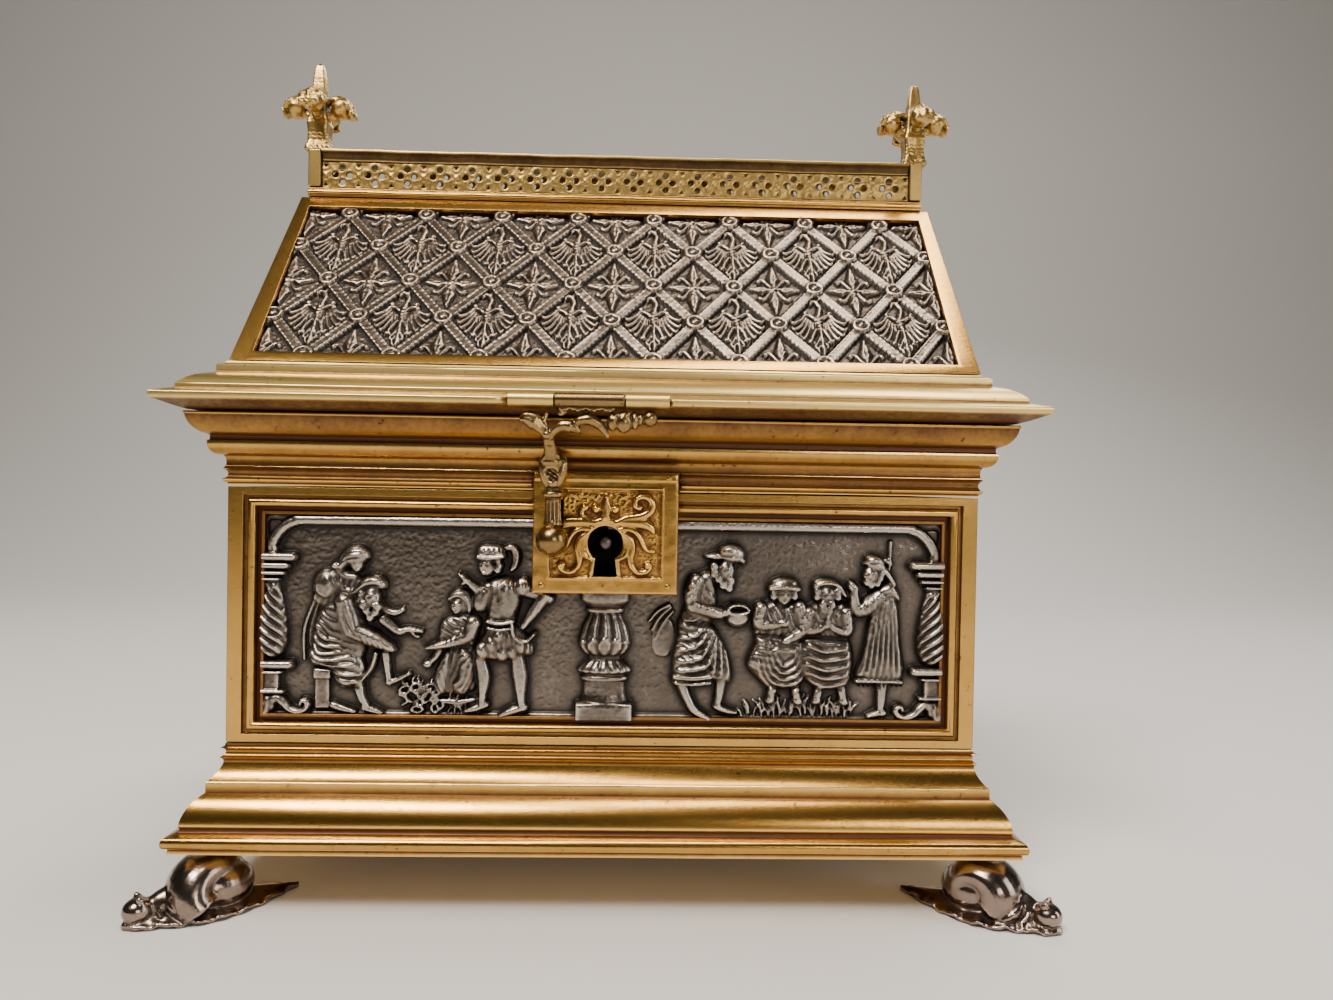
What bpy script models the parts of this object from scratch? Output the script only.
"""Gilt-brass casket shaped as a shrine: a moulded case on four snail feet, a hinged
lid shaped as a pitched roof with a pierced cresting, and a hasp lock.

Millimetres are used below and MM turns them into metres. The front faces -Y, the
soles of the feet are at Z = 0, and the case is centred on the Z axis. In a moulding
profile, p is how far a point stands out from the plane of the case's walls.
"""

import math

import bmesh
import bpy
from mathutils import Euler, Matrix, Vector

MM = 0.001
GAP = 0.3

# Case
HALF_X = 84.0
HALF_Y = 42.0
INNER_P = -5.0
BASE_BOTTOM_Z = 14.1
WALL_BOTTOM_Z = 36.15
WALL_TOP_Z = 93.1
CASE_TOP_Z = 109.28
FLOOR_Z = 17.5
FLOOR_THICKNESS = 1.8

# Wall windows and the plates behind them
WALL_THICKNESS = 3.2
WINDOW_SIDE = 7.7
WINDOW_END = 6.05
PLATE_LAP = 2.5
PLATE_THICKNESS = 1.3

# Roof, as seen along its slope
ROOF_BOTTOM_Z = 121.13
ROOF_TOP_Z = 168.8
RIDGE_HALF_Y = 4.2
ROOF_THICKNESS = 2.6
ROOF_SIDE_BAND = 4.5
ROOF_SIDE_LAP = 1.2
ROOF_END_LEAN = 1.6  # how far each end of the roof leans in at the ridge
ROOF_LOW_BAND = 2.9
ROOF_TOP_BAND = 3.8
REBATE_DEPTH = 1.0
REBATE_LIFT = 2.2  # keeps the rebate clear of the roof's level bottom cut

# Cresting and finials
CRESTING_HALF_X = 80.8
CRESTING_TOP_Z = 181.4
FINIAL_X = 79.3
HOLE_PITCH = 8.5
HOLE_COUNT = 18

# Lock and hasp
LOCK_HALF_X = 16.0
LOCK_BOTTOM_Z = 70.6
LOCK_TOP_Z = 97.4
LOCK_FACE_P = 3.8
LOCK_BACK_P = -7.0
KEYHOLE_Z = 81.8
KEYHOLE_RADIUS = 3.9
KEY_SLOT_HALF = 2.45
KEY_SLOT_BOTTOM_Z = 74.5
LOCK_PIN_RADIUS = 1.75
HASP_X = -10.7
HASP_AXIS_P = 13.0
HASP_AXIS_Z = 112.4
HASP_BARREL_RADIUS = 1.5
BOLT_Z = 88.0
STAPLE_THICKNESS = 1.6

# Rear hinges
REAR_AXIS_P = 13.5
REAR_AXIS_Z = 110.6
REAR_BARREL_RADIUS = 2.0
REAR_HINGE_X = 46.0
REAR_HINGE_LENGTH = 24.0

# Feet: the shell's centre, measured from the case's centre, and the snail's heading
FOOT_X = 84.9
FOOT_Y = 43.9
FOOT_HEADING = 37.0
FOOT_HEAD_REACH = 18.5

GILT = ("gilt_brass", (0.78, 0.53, 0.19), 0.3, 1.0)
ANTIQUE = ("antique_brass", (0.56, 0.40, 0.19), 0.4, 1.0)
OXIDISED = ("oxidised_silver", (0.34, 0.32, 0.30), 0.38, 1.0)
DARK_SILVER = ("dark_silver", (0.30, 0.28, 0.27), 0.3, 1.0)
STEEL = ("steel", (0.32, 0.31, 0.30), 0.35, 1.0)


def clear_scene():
    for obj in list(bpy.data.objects):
        bpy.data.objects.remove(obj)


def material(finish):
    name, colour, roughness, metallic = finish
    found = bpy.data.materials.get(name)
    if found:
        return found
    made = bpy.data.materials.new(name)
    made.use_nodes = True
    shader = made.node_tree.nodes["Principled BSDF"]
    shader.inputs["Base Color"].default_value = (*colour, 1.0)
    shader.inputs["Roughness"].default_value = roughness
    shader.inputs["Metallic"].default_value = metallic
    return made


def finish_mesh(name, bm, finish, smooth=False):
    """Turns a bmesh in millimetres into a named object in metres."""
    bmesh.ops.recalc_face_normals(bm, faces=bm.faces)
    bm.transform(Matrix.Scale(MM, 4))
    mesh = bpy.data.meshes.new(name)
    bm.to_mesh(mesh)
    bm.free()
    if smooth:
        mesh.shade_smooth()
        mesh.set_sharp_from_angle(angle=math.radians(35))
    mesh.materials.append(material(finish))
    obj = bpy.data.objects.new(name, mesh)
    bpy.context.scene.collection.objects.link(obj)
    return obj


def place(obj, x, y, z, rotation=(0.0, 0.0, 0.0)):
    obj.location = Vector((x, y, z)) * MM
    obj.rotation_euler = Euler([math.radians(a) for a in rotation])
    return obj


def set_origin(obj, x, y, z):
    """Moves the object's origin, on a moving piece to its joint's axis."""
    at = Vector((x, y, z)) * MM
    obj.data.transform(Matrix.Translation(obj.location - at))
    obj.location = at


def helper(obj):
    """A shape that only cuts or joins another one."""
    obj.hide_render = True
    obj.display_type = "WIRE"
    return obj


def boolean(obj, other, operation):
    modifier = obj.modifiers.new(operation.lower(), "BOOLEAN")
    modifier.operation = operation
    modifier.solver = "EXACT"
    modifier.object = helper(other)


# Shapes. Each returns a bmesh in millimetres.


def tube_of_loops(loops, closed=True):
    """A skin through loops of equal length. Closed, the last loop joins the first."""
    bm = bmesh.new()
    rows = [[bm.verts.new(point) for point in loop] for loop in loops]
    count = len(rows[0])
    pairs = list(zip(rows, rows[1:]))
    if closed:
        pairs.append((rows[-1], rows[0]))
    for low, high in pairs:
        for i in range(count):
            j = (i + 1) % count
            bm.faces.new((low[i], low[j], high[j], high[i]))
    if not closed:
        bm.faces.new(rows[0])
        bm.faces.new(rows[-1])
    return bm


def rectangle(half_x, half_y, z, centre_y=0.0):
    return [
        (-half_x, centre_y - half_y, z),
        (half_x, centre_y - half_y, z),
        (half_x, centre_y + half_y, z),
        (-half_x, centre_y + half_y, z),
    ]


def box(low, high):
    centre_x = (low[0] + high[0]) / 2
    half_x = (high[0] - low[0]) / 2
    centre_y = (low[1] + high[1]) / 2
    half_y = (high[1] - low[1]) / 2
    loops = [rectangle(half_x, half_y, z, centre_y) for z in (low[2], high[2])]
    bm = tube_of_loops(loops, closed=False)
    bm.transform(Matrix.Translation((centre_x, 0, 0)))
    return bm


def box_between(name, low, high, finish):
    return finish_mesh(name, box(low, high), finish)


def prism(outline, length):
    """An (a, b) outline in the Y-Z plane, extruded along X about the middle."""
    loops = [[(x, a, b) for a, b in outline] for x in (-length / 2, length / 2)]
    return tube_of_loops(loops, closed=False)


def turned(profile, segments):
    """A (radius, z) profile turned about Z; its ends close to flat discs."""
    loops = []
    for radius, z in profile:
        steps = [2 * math.pi * i / segments for i in range(segments)]
        loops.append([(radius * math.cos(a), radius * math.sin(a), z) for a in steps])
    return tube_of_loops(loops, closed=False)


def rod_along_x(radius, length, segments=16):
    bm = turned([(radius, -length / 2), (radius, length / 2)], segments)
    bm.transform(Matrix.Rotation(math.pi / 2, 4, "Y"))
    return bm


def ball(radius, segments=12):
    bm = bmesh.new()
    bmesh.ops.create_uvsphere(
        bm, u_segments=segments, v_segments=segments // 2 + 2, radius=radius
    )
    return bm


def bow(start, end, sagitta, steps=6):
    """Points after start, up to end, on an arc that bows to the right of its run."""
    chord = Vector(end) - Vector(start)
    half = chord.length / 2
    radius = (half * half + sagitta * sagitta) / (2 * abs(sagitta))
    side = Vector((chord.y, -chord.x)).normalized() * math.copysign(1, sagitta)
    centre = Vector(start) + chord / 2 + side * (abs(sagitta) - radius)
    spokes = [Vector(start) - centre, Vector(end) - centre]
    turn = spokes[0].angle_signed(spokes[1])
    points = []
    for i in range(1, steps + 1):
        spoke = spokes[0].copy()
        spoke.rotate(Matrix.Rotation(-turn * i / steps, 2))
        points.append(tuple(centre + spoke))
    return points


def ring(profile):
    """A (p, z) profile carried round the case, with mitred corners."""
    loops = [rectangle(HALF_X + p, HALF_Y + p, z) for p, z in profile]
    return tube_of_loops(loops)


# Moulding profiles


def base_profile():
    points = [(INNER_P, 35.9), (0.0, 35.9), (0.0, 35.2), (0.9, 35.0)]
    points += bow((0.9, 35.0), (0.9, 32.9), -1.07)
    points += [(0.25, 32.3), (0.25, 31.6)]
    points += bow((0.25, 31.6), (2.94, 27.9), 0.35)
    points += [(2.94, 25.6), (3.3, 25.4)]
    points += bow((3.3, 25.4), (6.9, 19.6), -0.75)
    points += [(6.6, 18.9), (6.9, 18.3), (8.9, 17.8)]
    points += bow((8.9, 17.8), (9.1, 15.5), -0.5)
    points += [(8.3, 15.2), (8.5, BASE_BOTTOM_Z)]
    points += [(-11.0, BASE_BOTTOM_Z), (-11.0, 17.2), (INNER_P, 17.2)]
    return points


def case_cornice_outer():
    """The cornice's outer side, from its bottom edge to its top edge."""
    points = [(0.0, 93.4), (0.0, 93.9)]
    points += bow((0.0, 93.9), (0.9, 94.7), 0.2, 3)
    points += bow((0.9, 94.7), (0.9, 97.0), 1.37)
    points += [(0.5, 97.2), (0.5, 97.6), (0.25, 97.8), (0.25, 98.6)]
    points += bow((0.25, 98.6), (0.7, 100.0), -0.15, 3)
    points += bow((0.7, 100.0), (3.1, 101.8), 0.55)
    points += [(3.19, 102.0), (3.19, 103.1), (2.75, 103.3), (2.75, 104.2), (3.3, 104.5)]
    points += bow((3.3, 104.5), (6.5, 108.5), 0.75, 8)
    points += [(6.72, 108.8), (6.72, CASE_TOP_Z - 0.15), (6.5, CASE_TOP_Z)]
    return points


def lid_cornice_outer():
    """The lid ring's outer side, from where it meets the case to its top edge."""
    points = [(6.1, 109.6)]
    points += bow((6.1, 109.6), (11.0, 111.4), 0.1, 4)
    points += [(11.4, 111.55), (11.68, 111.9), (11.68, 112.8), (11.45, 113.05)]
    points += [(8.1, 114.0), (7.9, 114.2)]
    points += [(7.9, 115.0), (7.7, 115.15)]
    points += bow((7.7, 115.15), (2.6, 118.0), 0.45)
    points += [(2.2, 118.1), (1.93, 118.35), (1.93, 119.9), (1.7, 120.05)]
    points += [(0.6, 120.3), (0.3, 120.83)]
    return points


def window_profile():
    """The wall frame's front: (offset outwards from the window, height)."""
    points = [(0.0, -WALL_THICKNESS), (0.0, -1.3), (0.7, -1.3), (0.7, -2.2)]
    points += [(1.7, -2.2), (1.7, -0.7)]
    points += bow((1.7, -0.7), (3.5, -0.7), -0.75)
    points += [(3.5, -1.0), (4.3, -1.0), (4.3, 0.0)]
    return points


# Case


def wall(name, half_width):
    """A wall frame, drawn face up: its width along X and its height along Y."""
    half_height = (WALL_TOP_Z - WALL_BOTTOM_Z) / 2
    window_x = half_width - WINDOW_SIDE
    window_y = half_height - WINDOW_END
    corner = 0.1
    loops = [rectangle(window_x + o, window_y + o, h) for o, h in window_profile()]
    loops.append(rectangle(half_width - corner, half_height, 0.0))
    mitred = half_width - corner - WALL_THICKNESS
    loops.append(rectangle(mitred, half_height, -WALL_THICKNESS))
    return finish_mesh(name, tube_of_loops(loops), GILT)


def relief_plate(name, half_width):
    half_height = (WALL_TOP_Z - WALL_BOTTOM_Z) / 2
    x = half_width - WINDOW_SIDE + PLATE_LAP
    y = half_height - WINDOW_END + PLATE_LAP
    face = -WALL_THICKNESS - GAP
    plate = box_between(
        name, (-x, -y, face - PLATE_THICKNESS), (x, y, face), OXIDISED
    )
    return plate, face


def relief_column(x, half_height, face):
    """A round column, half sunk into the plate, with a foot and a capital."""
    foot = -half_height
    profile = [(2.2, foot), (2.2, foot + 9), (1.7, foot + 10), (2.4, foot + 16)]
    profile += [(1.9, foot + 32), (2.6, foot + 34), (2.6, foot + 38)]
    bm = turned(profile, 8)
    bm.transform(Matrix.Rotation(-math.pi / 2, 4, "X"))
    bm.transform(Matrix.Translation((x, 0, face - 0.3)))
    return finish_mesh("relief_column", bm, OXIDISED)


def relief_baluster(half_height, face):
    """The low urn-shaped pillar under the lock."""
    foot = -half_height
    profile = [(6.2, foot), (6.2, foot + 4), (5.2, foot + 5), (5.0, foot + 9)]
    profile += [(6.6, foot + 11), (5.4, foot + 14), (7.0, foot + 18), (5.2, foot + 27)]
    bm = turned(profile, 10)
    bm.transform(Matrix.Rotation(-math.pi / 2, 4, "X"))
    bm.transform(Matrix.Scale(0.42, 4, (0, 0, 1)))
    bm.transform(Matrix.Translation((0, 0, face - 0.2)))
    return finish_mesh("relief_baluster", bm, OXIDISED)


def relief_figure(x, height, half_height, face):
    """A standing figure's mass: a robe that widens down, and a head."""
    foot = -half_height + 1.5
    profile = [(2.2, foot), (4.2, foot + 2), (3.2, foot + height * 0.5)]
    profile += [(3.6, foot + height * 0.68), (1.3, foot + height * 0.78)]
    profile += [(2.3, foot + height * 0.86), (1.2, foot + height)]
    bm = turned(profile, 8)
    bm.transform(Matrix.Rotation(-math.pi / 2, 4, "X"))
    bm.transform(Matrix.Scale(0.55, 4, (0, 0, 1)))
    bm.transform(Matrix.Translation((x, 0, face - 0.2)))
    return finish_mesh("relief_figure", bm, OXIDISED)


def make_walls():
    """Frames and relief plates on the four sides, each turned to face outwards."""
    centre_z = (WALL_TOP_Z + WALL_BOTTOM_Z) / 2
    window_half = (WALL_TOP_Z - WALL_BOTTOM_Z) / 2 - WINDOW_END
    sides = {
        "front": (HALF_X, 0, -HALF_Y, 0, (-58, -26, 24, 50)),
        "rear": (HALF_X, 0, HALF_Y, 180, (-50, -20, 20, 50)),
        "left": (HALF_Y, -HALF_X, 0, -90, (-14, 14)),
        "right": (HALF_Y, HALF_X, 0, 90, (-14, 14)),
    }
    made = {}
    for side, (half_width, x, y, turn, figures) in sides.items():
        frame = wall(f"{side}_wall", half_width)
        place(frame, x, y, centre_z, (90, 0, turn))
        plate, face = relief_plate(f"relief_{side}", half_width)
        place(plate, x, y, centre_z, (90, 0, turn))
        edge = half_width - WINDOW_SIDE - 2.9
        masses = [relief_column(sign * edge, window_half, face) for sign in (-1, 1)]
        masses += [relief_figure(at, 34, window_half, face) for at in figures]
        if half_width == HALF_X:
            masses.append(relief_baluster(window_half, face))
        for mass in masses:
            place(mass, x, y, centre_z, (90, 0, turn))
            boolean(plate, mass, "UNION")
        made[side] = (frame, plate)
    return made


def make_case_rings():
    base = finish_mesh("base_moulding", ring(base_profile()), GILT)
    outer = case_cornice_outer()
    profile = [(INNER_P, 93.4)] + outer + [(INNER_P, CASE_TOP_Z)]
    cornice = finish_mesh("case_cornice", ring(profile), GILT)
    x = HALF_X + INNER_P - GAP
    y = HALF_Y + INNER_P - GAP
    top = FLOOR_Z + FLOOR_THICKNESS
    box_between("bottom_plate", (-x, -y, FLOOR_Z), (x, y, top), ANTIQUE)
    return base, cornice


# Feet


def snail_sole():
    """The foot of the snail: a flat teardrop with a wavy flared edge."""
    tail, head, steps = -18.0, FOOT_HEAD_REACH - 0.9, 14
    side = []
    for i in range(steps + 1):
        t = i / steps
        width = 8.6 * math.sin(math.pi * min(1.0, 0.04 + 0.93 * t)) ** 0.55
        width *= 1 + 0.06 * math.cos(9 * math.pi * t)
        width *= 1 - 0.42 * max(0.0, t - 0.6) / 0.4
        side.append((tail + (head - tail) * t, width))
    outline = [(x, w) for x, w in side] + [(x, -w) for x, w in reversed(side)]
    levels = [(0.97, 0.0), (1.0, 0.5), (0.82, 1.5), (0.5, 2.4)]
    loops = [[(k * x + 0.5, k * y, z) for x, y in outline] for k, z in levels]
    return tube_of_loops(loops, closed=False)


def snail_shell():
    """A globular shell, with its low spire beside the last whorl."""
    bm = ball(1.0, 16)
    bm.transform(Matrix.Diagonal((11.0, 9.6, 6.6, 1.0)))
    bm.transform(Matrix.Translation((0, 0, 7.1)))
    return bm


def snail_head():
    bm = ball(1.0, 12)
    bm.transform(Matrix.Diagonal((6.6, 3.3, 2.7, 1.0)))
    bm.transform(Matrix.Rotation(math.radians(8), 4, "Y"))
    bm.transform(Matrix.Translation((11.8, 0, 2.9)))
    return bm


def make_feet(base):
    for end, sign_y in (("front", -1), ("rear", 1)):
        for side, sign_x in (("left", -1), ("right", 1)):
            heading = sign_y * (FOOT_HEADING if sign_x > 0 else 180 - FOOT_HEADING)
            at = (sign_x * FOOT_X, sign_y * FOOT_Y)
            foot = finish_mesh(f"foot_{end}_{side}", snail_sole(), DARK_SILVER, True)
            place(foot, *at, 0, (0, 0, heading))
            stud = turned([(1.5, 10.0), (1.5, 19.4)], 12)
            for shape in (snail_shell(), snail_head(), stud):
                piece = finish_mesh("snail_part", shape, DARK_SILVER)
                place(piece, *at, 0, (0, 0, heading))
                boolean(foot, piece, "UNION")
            bore = finish_mesh("stud_hole", turned([(1.8, 10.0), (1.8, 19.9)], 12), GILT)
            place(bore, *at, 0)
            boolean(base, bore, "DIFFERENCE")


# Lock


def front_y(p):
    return -HALF_Y - p


def front_box(name, x, p, z, finish):
    """A box at the front, given as spans of x, p and z."""
    low = (x[0], front_y(p[1]), z[0])
    high = (x[1], front_y(p[0]), z[1])
    return box_between(name, low, high, finish)


def keyhole_cutter():
    """A round hole with the slot for the key's bit below it."""
    steps = 20
    start = math.asin(-math.sqrt(KEYHOLE_RADIUS**2 - KEY_SLOT_HALF**2) / KEYHOLE_RADIUS)
    sweep = math.pi - 2 * start
    outline = []
    for i in range(steps + 1):
        a = start + sweep * i / steps
        outline.append((KEYHOLE_RADIUS * math.cos(a), KEYHOLE_RADIUS * math.sin(a)))
    drop = KEY_SLOT_BOTTOM_Z - KEYHOLE_Z
    outline += [(-KEY_SLOT_HALF, drop), (KEY_SLOT_HALF, drop)]
    loops = [[(x, y, z) for x, z in outline] for y in (-4.0, 4.0)]
    cutter = finish_mesh("keyhole", tube_of_loops(loops, closed=False), GILT)
    return place(cutter, 0, front_y(LOCK_FACE_P), KEYHOLE_Z)


def make_lock_plate():
    skin = 1.0
    span_x = (-LOCK_HALF_X, LOCK_HALF_X)
    span_z = (LOCK_BOTTOM_Z, LOCK_TOP_Z)
    plate = front_box("lock_plate", span_x, (0.3, LOCK_FACE_P), span_z, GILT)
    hollow = front_box(
        "lock_plate_hollow",
        (-LOCK_HALF_X + skin, LOCK_HALF_X - skin),
        (-1.0, LOCK_FACE_P - skin),
        (LOCK_BOTTOM_Z + skin, LOCK_TOP_Z - skin),
        GILT,
    )
    boolean(plate, hollow, "DIFFERENCE")
    border = 3.3
    panel = front_box(
        "lock_plate_field",
        (-LOCK_HALF_X + border, LOCK_HALF_X - border),
        (LOCK_FACE_P - 0.35, LOCK_FACE_P + 1.0),
        (LOCK_BOTTOM_Z + border, LOCK_TOP_Z - border),
        GILT,
    )
    boolean(plate, panel, "DIFFERENCE")
    boolean(plate, keyhole_cutter(), "DIFFERENCE")
    slot = front_box(
        "staple_slot", (HASP_X - 1.4, HASP_X + 1.4), (-1.0, 6.0), (80.6, 91.4), GILT
    )
    boolean(plate, slot, "DIFFERENCE")


def make_lock_case():
    """An open-fronted box with two guides, each with a tunnel for the bolt."""
    half, low, high, skin = 14.6, 72.0, 95.8, 1.0
    front = 2.4
    case = front_box("lock_case", (-half, half), (LOCK_BACK_P, front), (low, high), STEEL)
    hollow = front_box(
        "lock_case_hollow",
        (-half + skin, half - skin),
        (LOCK_BACK_P + skin, front + 1.0),
        (low + skin, high - skin),
        STEEL,
    )
    boolean(case, hollow, "DIFFERENCE")
    for x in (-5.5, 4.5):
        guide = front_box(
            "bolt_guide", (x - 1, x + 1), (LOCK_BACK_P + 0.5, 0.2), (85.4, 90.6), STEEL
        )
        boolean(case, guide, "UNION")
    tunnel = front_box(
        "bolt_tunnel", (-9.0, 9.0), (-2.75, -0.25), (BOLT_Z - 1.35, BOLT_Z + 1.35), STEEL
    )
    boolean(case, tunnel, "DIFFERENCE")
    pin_seat = finish_mesh(
        "pin_seat", turned([(1.3, -1.6), (1.3, 1.6)], 16), STEEL
    )
    place(pin_seat, 0, front_y(LOCK_BACK_P + skin / 2), KEYHOLE_Z, (90, 0, 0))
    boolean(case, pin_seat, "DIFFERENCE")


def make_lock_pin():
    """The pin that the key's hollow shank slides over, with a rounded nose."""
    length = 1.6 - LOCK_BACK_P - 1.3
    nose = LOCK_PIN_RADIUS
    profile = [(1.0, -1.2), (1.0, 0.0), (nose, 0.0), (nose, length - 1.0)]
    profile += [(nose * 0.9, length - 0.5), (nose * 0.6, length - 0.15), (0.4, length)]
    pin = finish_mesh("lock_pin", turned(profile, 16), STEEL, True)
    place(pin, 0, front_y(LOCK_BACK_P + 1.3), KEYHOLE_Z, (90, 0, 0))


def make_lock_bolt():
    """A flat bolt with a talon that the key's bit pushes."""
    p = (-2.4, -0.6)
    bolt = front_box("lock_bolt", (-8.4, 8.2), p, (BOLT_Z - 1, BOLT_Z + 1), STEEL)
    talon = front_box("bolt_talon", (0.3, 2.3), p, (84.7, BOLT_Z), STEEL)
    boolean(bolt, talon, "UNION")
    set_origin(bolt, -8.4, front_y(-1.5), BOLT_Z)


def cut_lock_seat(front_wall, relief, cornice):
    """Room for the lock case in the wall, and for the lock plate over the cornice."""
    through = front_box(
        "lock_seat", (-15, 15), (LOCK_BACK_P - 1, 4.0), (71.6, 96.2), GILT
    )
    for piece in (front_wall, relief, cornice):
        boolean(piece, through, "DIFFERENCE")
    over = front_box(
        "lock_plate_seat",
        (-LOCK_HALF_X - GAP, LOCK_HALF_X + GAP),
        (0.05, 5.0),
        (90.0, LOCK_TOP_Z + GAP),
        GILT,
    )
    boolean(cornice, over, "DIFFERENCE")


# Hasp


def make_hasp():
    """The hasp: its knuckle, scrolled arm, leaf boss and fluted shaft."""
    y, z = front_y(HASP_AXIS_P), HASP_AXIS_Z
    hasp = finish_mesh("hasp", rod_along_x(HASP_BARREL_RADIUS, 14.6), ANTIQUE, True)
    place(hasp, -3.3, y, z)
    web = front_box("hasp_web", (-9.8, 2.0), (11.0, 13.4), (108.2, 111.6), ANTIQUE)
    boolean(hasp, web, "UNION")
    arm = finish_mesh("hasp_arm", rod_along_x(1.35, 26.5, 8), ANTIQUE)
    place(arm, -3.6, front_y(11.6), 108.6)
    boolean(hasp, arm, "UNION")
    end_ball = place(finish_mesh("arm_ball", ball(1.9), ANTIQUE), 9.6, front_y(11.6), 108.6)
    boolean(hasp, end_ball, "UNION")
    leaf = finish_mesh("arm_leaf", ball(1.0), ANTIQUE)
    leaf.data.transform(Matrix.Diagonal((2.6, 1.5, 2.9, 1.0)))
    boolean(hasp, place(leaf, -16.0, front_y(11.6), 107.3, (0, 25, 0)), "UNION")
    stem = [(11.6, 109.0, 1.2), (10.4, 106.3, 1.1), (8.8, 103.4, 1.1), (7.5, 101.2, 2.2)]
    stem += [(7.1, 98.4, 2.7), (6.8, 95.3, 1.9), (6.7, 93.6, 1.5), (6.7, 93.1, 2.2)]
    stem += [(6.7, 91.6, 2.2), (6.7, 91.2, 1.8), (6.9, 86.2, 1.9)]
    sides = [2 * math.pi * i / 12 for i in range(12)]
    loops = []
    for p, level, radius in stem:
        loop = [(radius * math.cos(a), radius * math.sin(a)) for a in sides]
        loops.append([(HASP_X + dx, front_y(p) + dy, level) for dx, dy in loop])
    body = finish_mesh("hasp_stem", tube_of_loops(loops, closed=False), ANTIQUE)
    boolean(hasp, body, "UNION")
    bore = place(finish_mesh("hasp_bore", rod_along_x(0.85, 20), ANTIQUE), -3.3, y, z)
    boolean(hasp, bore, "DIFFERENCE")


def make_hasp_parts():
    y, z = front_y(HASP_AXIS_P), HASP_AXIS_Z
    knob = finish_mesh("hasp_knob", ball(3.5, 20), ANTIQUE, True)
    place(knob, HASP_X, front_y(8.0), 82.3)
    half = STAPLE_THICKNESS / 2
    staple = front_box(
        "hasp_staple", (HASP_X - half, HASP_X + half), (-3.6, 4.3), (85.3, 90.7), STEEL
    )
    eye = front_box("staple_eye", (HASP_X - 2, HASP_X + 2), (-2.9, -0.1), (86.6, 89.4), STEEL)
    boolean(staple, eye, "DIFFERENCE")
    for piece in (knob, staple):
        set_origin(piece, 0, y, z)
    for name, low, high in (("left", -20.3, -10.9), ("right", 4.3, 13.4)):
        barrel = finish_mesh(
            f"hasp_barrel_{name}", rod_along_x(HASP_BARREL_RADIUS, high - low), GILT, True
        )
        place(barrel, (low + high) / 2, y, z)
        lug = front_box("barrel_lug", (low, high), (11.35, 13.0), (112.2, 113.3), GILT)
        boolean(barrel, lug, "UNION")
        bore = finish_mesh("barrel_bore", rod_along_x(0.85, 20), GILT)
        boolean(barrel, place(bore, (low + high) / 2, y, z), "DIFFERENCE")
    pin = finish_mesh("hasp_pin", rod_along_x(0.6, 33.4, 12), STEEL, True)
    place(pin, -3.45, y, z)


# Lid


def make_lid_cornice():
    profile = [(INNER_P, 109.6)] + lid_cornice_outer() + [(INNER_P, 120.83)]
    cornice = finish_mesh("lid_cornice", ring(profile), GILT)
    notch = front_box("barrel_notch", (-20.6, 13.7), (11.0, 13.0), (111.0, 114.0), GILT)
    boolean(cornice, notch, "DIFFERENCE")


def roof_slope():
    """The slope's angle and length, from its bottom edge to the ridge."""
    run = HALF_Y - RIDGE_HALF_Y
    rise = ROOF_TOP_Z - ROOF_BOTTOM_Z
    return math.atan2(rise, run), math.hypot(rise, run)


def make_roof():
    angle, length = roof_slope()
    window_x = HALF_X - ROOF_SIDE_BAND
    window_y = (length - ROOF_LOW_BAND - ROOF_TOP_BAND) / 2
    centre_y = (ROOF_LOW_BAND - ROOF_TOP_BAND) / 2
    low_cut = ROOF_THICKNESS / math.tan(angle)
    mid_y = (HALF_Y + RIDGE_HALF_Y) / 2
    mid_z = (ROOF_BOTTOM_Z + ROOF_TOP_Z) / 2
    back = -ROOF_THICKNESS
    for side, sign, turn in (("front", -1, 0), ("rear", 1, 180)):
        pocket_x = window_x + ROOF_SIDE_LAP + GAP
        pocket_y = window_y + (PLATE_LAP + GAP) * 0.9
        loops = [
            rectangle(window_x, window_y, 0.0, centre_y),
            rectangle(window_x, window_y, -REBATE_DEPTH, centre_y),
            lift_low_side(rectangle(pocket_x, pocket_y, -REBATE_DEPTH, centre_y)),
            lift_low_side(rectangle(pocket_x, pocket_y, back, centre_y)),
            lean_ends(rectangle(HALF_X, (length - low_cut) / 2, back, low_cut / 2)),
            lean_ends(rectangle(HALF_X, length / 2, 0.0)),
        ]
        frame = finish_mesh(f"roof_{side}_frame", tube_of_loops(loops), GILT)
        tilt = (math.degrees(angle), 0, turn)
        place(frame, 0, sign * mid_y, mid_z, tilt)
        x = window_x + ROOF_SIDE_LAP
        y_low = centre_y - pocket_y + REBATE_LIFT + GAP
        y_high = centre_y + pocket_y - GAP
        face = -REBATE_DEPTH - GAP
        plate = box_between(
            f"roof_{side}_diaper", (-x, y_low, back + 0.1), (x, y_high, face), OXIDISED
        )
        place(plate, 0, sign * mid_y, mid_z, tilt)


def lift_low_side(loop):
    """Moves the pocket's lower edge up the slope."""
    middle = sum(y for _, y, _ in loop) / len(loop)
    return [(x, y + REBATE_LIFT if y < middle else y, z) for x, y, z in loop]


def lean_ends(loop):
    """Draws in the two corners of a roof frame that are at the ridge."""
    middle = sum(y for _, y, _ in loop) / len(loop)
    return [
        (x - math.copysign(ROOF_END_LEAN, x) if y > middle else x, y, z) for x, y, z in loop
    ]


def gable_outline(inset, low_z, top_z):
    """A trapezoid in the gable's plane, parallel to the roof's inner faces."""
    angle, _ = roof_slope()
    shift = (ROOF_THICKNESS + GAP + inset) / math.sin(angle)
    points = []
    for z in (low_z, top_z):
        half = HALF_Y - shift - (z - ROOF_BOTTOM_Z) / math.tan(angle)
        points.append((half, z))
    (low, z0), (high, z1) = points
    return [(-low, z0), (low, z0), (high, z1), (-high, z1)]


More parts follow.
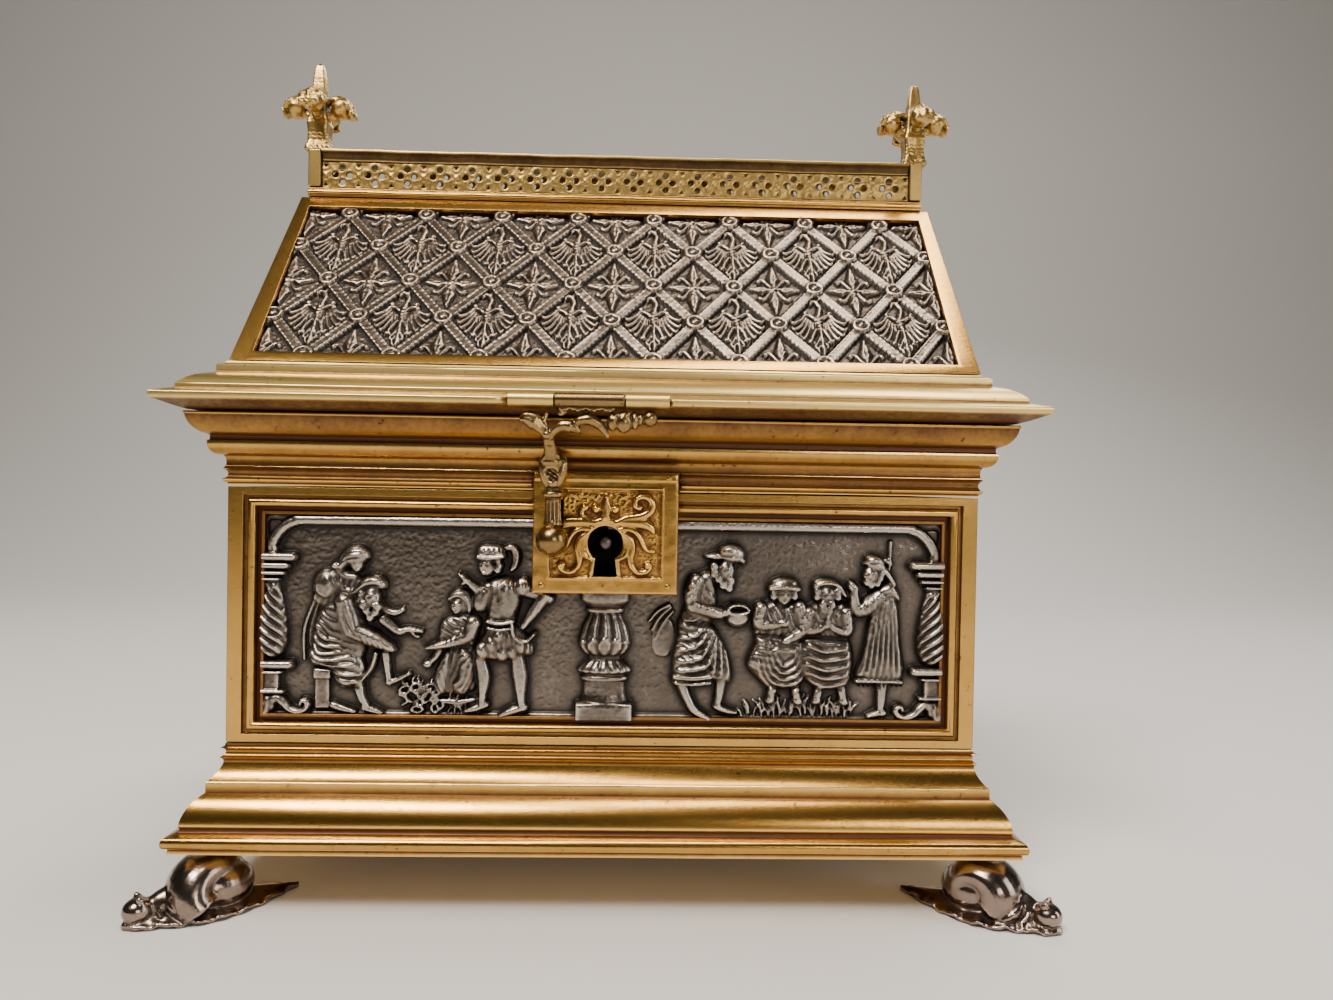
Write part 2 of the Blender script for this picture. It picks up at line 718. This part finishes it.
def gable_point(sign, x, y, z):
    """A place x out from the middle at the foot of a gable, which leans in above."""
    rise = (z - ROOF_BOTTOM_Z) / (ROOF_TOP_Z - ROOF_BOTTOM_Z)
    return (sign * (x - ROOF_END_LEAN * rise), y, z)


def make_gables():
    """A gable frame, whose neck fills the gap under the ridge, and the plate in its window."""
    outer = gable_outline(0.0, ROOF_BOTTOM_Z, 166.6)
    window = gable_outline(4.5, ROOF_BOTTOM_Z + 4.5, 157.5)
    lapped = gable_outline(2.6, ROOF_BOTTOM_Z + 2.6, 161.0)
    plate_edge = gable_outline(3.0, ROOF_BOTTOM_Z + 3.0, 160.2)
    neck = [(1.2, 163.5), (1.5, 166.8), (1.9, 167.4), (3.55, 168.7)]
    neck += [(-y, z) for y, z in reversed(neck)]
    for side, sign in (("left", -1), ("right", 1)):
        face = HALF_X - 0.6
        levels = [
            (window, face), (window, face - 1.0), (lapped, face - 1.0),
            (lapped, face - 2.6), (outer, face - 2.6), (outer, face),
        ]
        loops = [[gable_point(sign, x, y, z) for y, z in shape] for shape, x in levels]
        gable = finish_mesh(f"gable_{side}", tube_of_loops(loops), GILT)
        loops = [
            [gable_point(sign, x, y, z) for y, z in neck] for x in (face - 0.3, face - 2.3)
        ]
        boolean(gable, finish_mesh("neck", tube_of_loops(loops, closed=False), GILT), "UNION")
        levels = [(plate_edge, face - 1.3), (plate_edge, face - 2.5)]
        loops = [[gable_point(sign, x, y, z) for y, z in shape] for shape, x in levels]
        plate = tube_of_loops(loops, closed=False)
        finish_mesh(f"gable_{side}_plate", plate, OXIDISED)


# Cresting and finials


def make_ridge():
    """The moulded beam along the ridge and the rail over the pierced plates."""
    low = ROOF_TOP_Z + GAP
    beam = [(4.3, low), (4.3, low + 0.5), (4.7, low + 0.8), (4.7, low + 1.3)]
    beam += [(4.0, low + 1.6), (4.0, low + 2.3)]
    outline = beam + [(-y, z) for y, z in reversed(beam)]
    finish_mesh("ridge_beam", prism(outline, 2 * CRESTING_HALF_X), GILT)
    rail = [(3.6, 178.6)] + bow((3.6, 178.6), (4.8, 180.2), -0.25, 4)
    rail += [(4.9, 180.4), (4.9, CRESTING_TOP_Z - 0.3), (4.6, CRESTING_TOP_Z)]
    outline = rail + [(-y, z) for y, z in reversed(rail)]
    finish_mesh("cresting_rail", prism(outline, 2 * (CRESTING_HALF_X - 3.5)), ANTIQUE)


def make_cresting():
    """Two pierced plates, one at each face of the cresting, between end posts."""
    low, high = ROOF_TOP_Z + 2.9, 178.3
    half_x = CRESTING_HALF_X - 3.5
    middle = (low + high) / 2
    for side, sign in (("front", -1), ("rear", 1)):
        inner, outer = sorted((sign * 2.6, sign * 3.5))
        name = f"cresting_{side}"
        plate = box_between(name, (-half_x, inner, low), (half_x, outer, high), ANTIQUE)
        row = bmesh.new()
        for i in range(HOLE_COUNT):
            x = (i - (HOLE_COUNT - 1) / 2) * HOLE_PITCH
            hole = [(x - 2, 0, middle), (x, 0, middle - 2), (x + 2, 0, middle)]
            hole.append((x, 0, middle + 2))
            near = [row.verts.new((a, -5, c)) for a, _, c in hole]
            far = [row.verts.new((a, 5, c)) for a, _, c in hole]
            row.faces.new(near)
            row.faces.new(far)
            for j in range(4):
                k = (j + 1) % 4
                row.faces.new((near[j], near[k], far[k], far[j]))
        boolean(plate, finish_mesh("pierced_row", row, ANTIQUE), "DIFFERENCE")
    for side, sign in (("left", -1), ("right", 1)):
        x0, x1 = sorted((sign * (CRESTING_HALF_X - 3.2), sign * CRESTING_HALF_X))
        box_between(
            f"cresting_post_{side}", (x0, -4.4, low), (x1, 4.4, CRESTING_TOP_Z), ANTIQUE
        )


def finial_leaf(turn):
    """A leaf that grows out of the stem, arches over and droops."""
    path = [(1.0, 9.6, 1.6), (4.0, 12.6, 2.4), (7.2, 12.4, 2.6), (9.2, 9.6, 1.3)]
    loops = []
    for i, (reach, height, half) in enumerate(path):
        ahead = path[min(i + 1, len(path) - 1)]
        behind = path[max(i - 1, 0)]
        run = Vector((ahead[0] - behind[0], ahead[1] - behind[1])).normalized()
        out = Vector((-run.y, run.x)) * 0.8
        upper = (reach + out.x, height + out.y)
        lower = (reach - out.x, height - out.y)
        loops.append([
            (upper[0], -half, upper[1]), (upper[0], half, upper[1]),
            (lower[0], half, lower[1]), (lower[0], -half, lower[1]),
        ])
    bm = tube_of_loops(loops, closed=False)
    bm.transform(Matrix.Rotation(math.radians(turn), 4, "Z"))
    return bm


def make_finial(side, sign, spike):
    """A square stem, four drooping leaves over round buds, and a spike."""
    stem = [(3.1, 0.0), (3.1, 1.0), (2.3, 2.2), (1.8, 7.0), (2.2, 10.5), (1.3, 12.6)]
    stem += [(1.5, 13.0), (1.2, 13.0 + spike * 0.8), (0.5, 13.0 + spike)]
    bm = turned([(r * math.sqrt(2), z) for r, z in stem], 4)
    bm.transform(Matrix.Rotation(math.radians(45), 4, "Z"))
    finial = finish_mesh(f"finial_{side}", bm, ANTIQUE)
    at = (sign * FINIAL_X, 0, CRESTING_TOP_Z + GAP)
    place(finial, *at)
    for quarter in range(4):
        turn = 90 * quarter
        leaf = place(finish_mesh("leaf", finial_leaf(turn), ANTIQUE), *at)
        boolean(finial, leaf, "UNION")
        bud = ball(2.2, 10)
        bud.transform(Matrix.Translation((3.6, 0, 9.4)))
        bud.transform(Matrix.Rotation(math.radians(turn), 4, "Z"))
        boolean(finial, place(finish_mesh("bud", bud, ANTIQUE), *at), "UNION")


# Rear hinges


def case_leaf_outline():
    """The case leaf's section: its inner side lies along the cornice."""
    hug = [(p + GAP, z) for p, z in case_cornice_outer() if 103.5 < z < 109.0]
    return hug + [
        (hug[-1][0], 109.6), (REAR_AXIS_P, 110.3), (REAR_AXIS_P, 109.0),
        (9.0, 107.2), (7.2, 104.6), (5.0, 103.2),
    ]


def lid_leaf_outline():
    """The lid leaf's section: it lies on the lid's lip and bends round its tip."""
    inner = [(8.25, 115.2), (8.25, 114.4), (11.8, 113.2), (12.1, 112.7)]
    outer = [(12.4, 111.5), (13.5, 110.9), (14.9, 111.3), (14.6, 112.8)]
    return inner + outer + [(12.6, 114.3), (9.2, 115.4)]


def make_rear_hinge(side, sign):
    """A case leaf with two knuckles, a lid leaf with one between them, and a pin."""
    x = sign * REAR_HINGE_X
    third = REAR_HINGE_LENGTH / 3
    axis = (x, HALF_Y + REAR_AXIS_P, REAR_AXIS_Z)
    case_leaf = finish_mesh(
        f"rear_hinge_case_leaf_{side}", prism(case_leaf_outline(), REAR_HINGE_LENGTH), GILT
    )
    lid_leaf = finish_mesh(
        f"rear_hinge_lid_leaf_{side}", prism(lid_leaf_outline(), third - 0.4), GILT
    )
    for leaf, length in ((case_leaf, REAR_HINGE_LENGTH), (lid_leaf, third - 0.4)):
        place(leaf, x, HALF_Y, 0)
        rod = rod_along_x(REAR_BARREL_RADIUS, length + 0.2)
        boolean(leaf, place(finish_mesh("knuckle", rod, GILT), *axis), "UNION")
    gap = box((-third / 2, 5.0, 107.6), (third / 2, 17.0, 114.0))
    gap_cutter = place(finish_mesh("knuckle_gap", gap, GILT), x, HALF_Y, 0)
    boolean(case_leaf, gap_cutter, "DIFFERENCE")
    bore = place(finish_mesh("hinge_bore", rod_along_x(1.05, 40, 12), GILT), *axis)
    for leaf in (case_leaf, lid_leaf):
        boolean(leaf, bore, "DIFFERENCE")
    pin = finish_mesh(f"rear_hinge_pin_{side}", rod_along_x(0.8, 24.6, 12), STEEL, True)
    place(pin, *axis)


def main():
    clear_scene()
    walls = make_walls()
    base, cornice = make_case_rings()
    make_feet(base)
    front_wall, relief = walls["front"]
    cut_lock_seat(front_wall, relief, cornice)
    make_lock_plate()
    make_lock_case()
    make_lock_pin()
    make_lock_bolt()
    make_lid_cornice()
    make_roof()
    make_gables()
    make_ridge()
    make_cresting()
    make_finial("left", -1, 10.9)
    make_finial("right", 1, 9.4)
    make_hasp()
    make_hasp_parts()
    make_rear_hinge("left", -1)
    make_rear_hinge("right", 1)


main()
